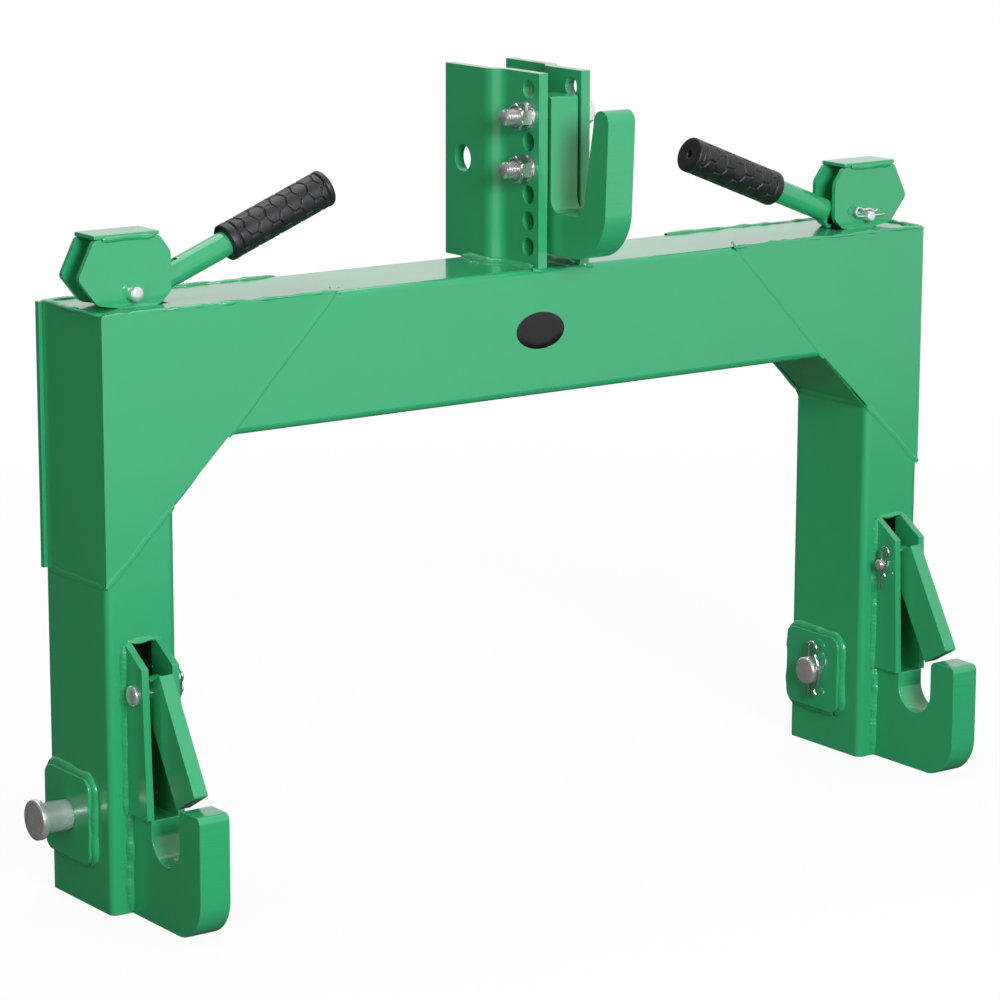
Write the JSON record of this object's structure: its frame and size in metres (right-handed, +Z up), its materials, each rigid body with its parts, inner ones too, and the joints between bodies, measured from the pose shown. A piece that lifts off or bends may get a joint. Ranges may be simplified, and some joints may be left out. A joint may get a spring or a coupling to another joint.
{
  "type": "three-point quick hitch",
  "caption": "Tractor three-point quick hitch: box frame with a bolted top hook, latched lower hooks, link pins and release levers.",
  "frame": {"origin": "under the middle of the outline, in the plane of the leg bottoms", "axes": "+X to the right along the beam, -Y to the front where the hooks point, +Z up"},
  "size_m": [0.801, 0.196, 0.5625],
  "materials": {
    "green_paint": "glossy green enamel over steel",
    "zinc": "bright zinc plating",
    "spring_steel": "plain spring wire",
    "grip_rubber": "matt moulded rubber with raised hexagons"
  },
  "bodies": {
    "frame": {"beam_tube": "green_paint", "left_leg_tube": "green_paint", "right_leg_tube": "green_paint", "left_corner_front_plate": "green_paint", "right_corner_front_plate": "green_paint", "left_corner_rear_plate": "green_paint", "right_corner_rear_plate": "green_paint", "left_corner_top_plate": "green_paint", "right_corner_top_plate": "green_paint", "left_corner_side_plate": "green_paint", "right_corner_side_plate": "green_paint", "left_corner_inner_plate": "green_paint", "right_corner_inner_plate": "green_paint", "left_mast_plate": "green_paint", "right_mast_plate": "green_paint", "top_hook": "green_paint", "top_hook_bolts": "zinc", "top_hook_nuts": "zinc", "top_hook_washers": "zinc", "left_lower_hook": "green_paint", "right_lower_hook": "green_paint", "left_latch_cheeks": "green_paint", "right_latch_cheeks": "green_paint", "left_latch_pin": "zinc", "right_latch_pin": "zinc", "left_latch_pin_clip": "zinc", "right_latch_pin_clip": "zinc", "left_pin_doublers": "green_paint", "right_pin_doublers": "green_paint", "left_bracket_front_plate": "green_paint", "right_bracket_front_plate": "green_paint", "left_bracket_rear_plate": "green_paint", "right_bracket_rear_plate": "green_paint", "left_bracket_top_plate": "green_paint", "right_bracket_top_plate": "green_paint", "left_lever_pin": "zinc", "right_lever_pin": "zinc", "left_lever_pin_clip": "zinc", "right_lever_pin_clip": "zinc", "left_rod_guide": "green_paint", "right_rod_guide": "green_paint"},
    "left_lever": {"left_lever_bar": "green_paint", "left_lever_plate": "green_paint", "left_grip": "grip_rubber"},
    "left_rod": {"left_pull_rod": "zinc", "left_spring_collar": "zinc", "left_return_spring": "spring_steel"},
    "left_latch": {"left_latch": "green_paint"},
    "left_link_pin": {"left_link_pin": "zinc", "left_link_pin_clip": "zinc"},
    "right_lever": {"right_lever_bar": "green_paint", "right_lever_plate": "green_paint", "right_grip": "grip_rubber"},
    "right_rod": {"right_pull_rod": "zinc", "right_spring_collar": "zinc", "right_return_spring": "spring_steel"},
    "right_latch": {"right_latch": "green_paint"},
    "right_link_pin": {"right_link_pin": "zinc", "right_link_pin_clip": "zinc"}
  },
  "joints": [
    {"name": "left_lever_lift", "type": "hinge", "parent": "frame", "child": "left_lever", "pos_m": [-0.3295, 0.032, 0.4305], "axis": [0, -1, 0], "range_deg": [0, 30], "stiffness_Nm_per_rad": 0.94, "springref_deg": -17.19},
    {"name": "left_rod_lift", "type": "slide", "parent": "frame", "child": "left_rod", "axis": [0, 0, 1], "range_m": [0, 0.0132], "deforming": ["left_return_spring"]},
    {"name": "left_latch_swing", "type": "hinge", "parent": "frame", "child": "left_latch", "pos_m": [-0.3415, -0.019, 0.1595], "axis": [1, 0, 0], "range_deg": [0, 35.6]},
    {"name": "left_link_pin_slide", "type": "slide", "parent": "frame", "child": "left_link_pin", "axis": [1, 0, 0], "range_m": [0, 0.0205]},
    {"name": "right_lever_lift", "type": "hinge", "parent": "frame", "child": "right_lever", "pos_m": [0.3295, 0.032, 0.4305], "axis": [0, 1, 0], "range_deg": [0, 30], "stiffness_Nm_per_rad": 0.94, "springref_deg": -17.19},
    {"name": "right_rod_lift", "type": "slide", "parent": "frame", "child": "right_rod", "axis": [0, 0, 1], "range_m": [0, 0.0132], "deforming": ["right_return_spring"]},
    {"name": "right_latch_swing", "type": "hinge", "parent": "frame", "child": "right_latch", "pos_m": [0.3415, -0.019, 0.1595], "axis": [1, 0, 0], "range_deg": [0, 35.6]},
    {"name": "right_link_pin_slide", "type": "slide", "parent": "frame", "child": "right_link_pin", "axis": [-1, 0, 0], "range_m": [0, 0.0205]}
  ],
  "couplings": [
    {"joint": "left_rod_lift", "follows": "left_lever_lift", "m_per_rad": 0.025019},
    {"joint": "left_latch_swing", "follows": "left_lever_lift", "ratio": 1.1833},
    {"joint": "right_rod_lift", "follows": "right_lever_lift", "m_per_rad": 0.025019},
    {"joint": "right_latch_swing", "follows": "right_lever_lift", "ratio": 1.1833}
  ]
}
